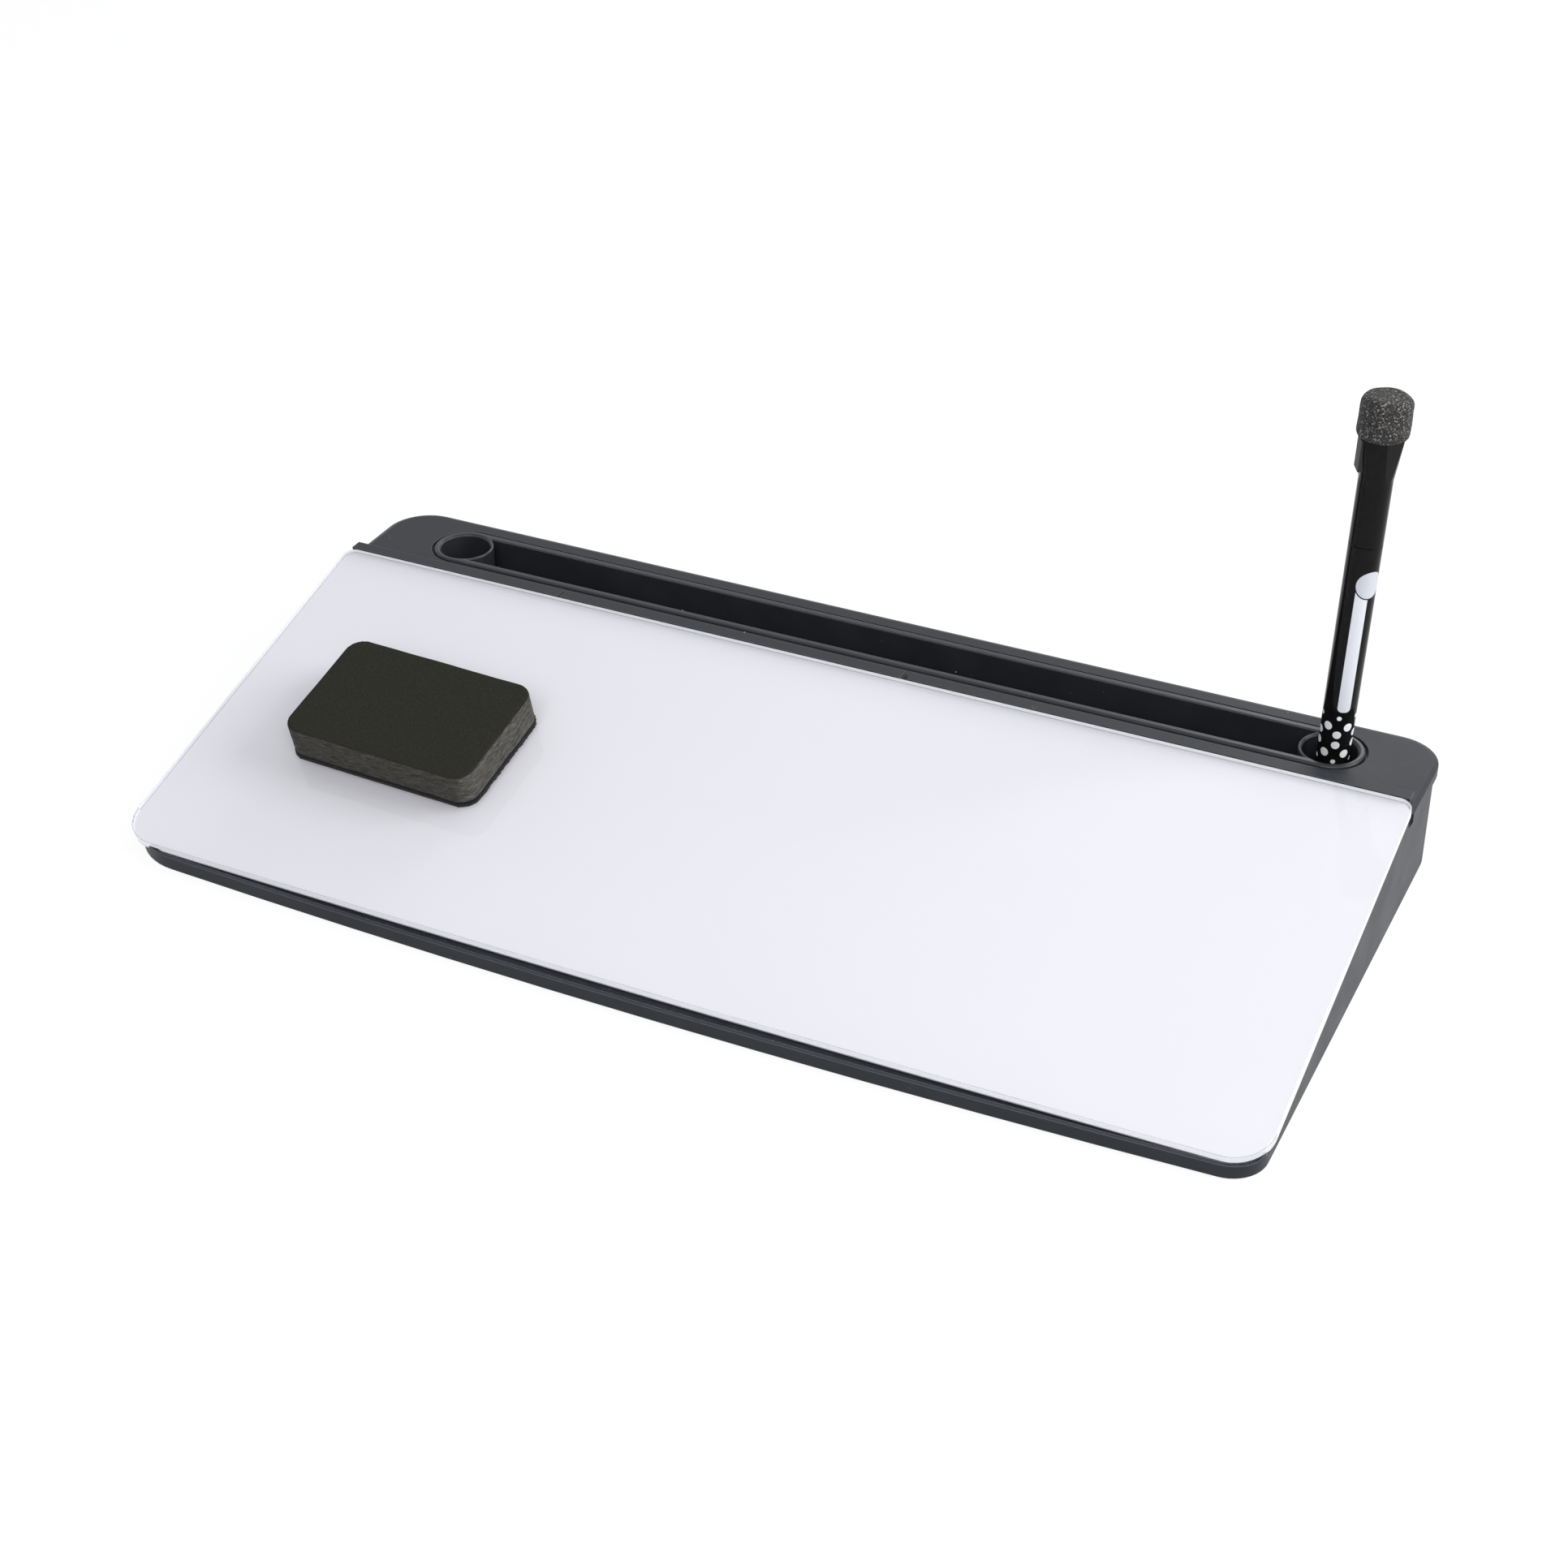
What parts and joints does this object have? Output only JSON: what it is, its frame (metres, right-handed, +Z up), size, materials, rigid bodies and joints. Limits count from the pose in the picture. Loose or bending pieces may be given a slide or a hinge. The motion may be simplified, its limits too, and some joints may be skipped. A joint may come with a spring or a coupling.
{
  "type": "desktop dry-erase board",
  "caption": "Wedge-shaped desk board with a sloping glass writing surface, a pen tray behind it, a foam eraser and a capped marker standing in a cup.",
  "frame": {"origin": "on the desk, under the middle of the footprint", "axes": "+X to the right along the board, +Y to the rear, up the slope, +Z up"},
  "size_m": [0.4004, 0.199, 0.1663],
  "materials": {
    "body_plastic": "satin moulded charcoal",
    "tray_plastic": "satin moulded charcoal",
    "screw_steel": "dark zinc",
    "foot_rubber": "matt",
    "clear_glass": "polished, with a ground edge",
    "white_coat": "white coat behind the glass",
    "tape": "double-sided foam tape",
    "eraser_foam": "cut closed-cell foam",
    "eraser_felt": "felt",
    "marker_black": "gloss black",
    "ink_fibre": "inked fibre",
    "nib_holder": "moulded",
    "nib_fibre": "pressed fibre",
    "magnet_grey": "matt grey",
    "head_foam": "granular grey foam"
  },
  "bodies": {
    "root": {"housing": "body_plastic", "bottom_cover": "body_plastic", "base_screws": "screw_steel", "rubber_feet": "foot_rubber", "glass_panel": "clear_glass", "white_backing": "white_coat", "adhesive_strips": "tape"},
    "pen_tray": {"pen_tray": "tray_plastic"},
    "eraser": {"eraser_foam": "eraser_foam", "eraser_felt": "eraser_felt"},
    "marker": {"marker_barrel": "marker_black", "marker_end_plug": "marker_black", "ink_reservoir": "ink_fibre", "nib_section": "nib_holder", "marker_nib": "nib_fibre"},
    "marker_cap": {"marker_cap": "marker_black", "cap_inner_seal": "nib_holder", "cap_magnet": "magnet_grey", "foam_head": "head_foam"}
  },
  "joints": [
    {"name": "tray_lift", "type": "slide", "parent": "root", "child": "pen_tray", "axis": [0, 0, 1], "range_m": [0, 0.03]},
    {"name": "eraser_lift", "type": "slide", "parent": "root", "child": "eraser", "axis": [0, -0.2419, 0.9703], "range_m": [0, 0.05]},
    {"name": "marker_lift", "type": "slide", "parent": "pen_tray", "child": "marker", "axis": [0.0288, 0.0138, 0.9995], "range_m": [0, 0.03]},
    {"name": "cap_pull", "type": "slide", "parent": "marker", "child": "marker_cap", "axis": [0.0288, 0.0138, 0.9995], "range_m": [0, 0.03]}
  ]
}
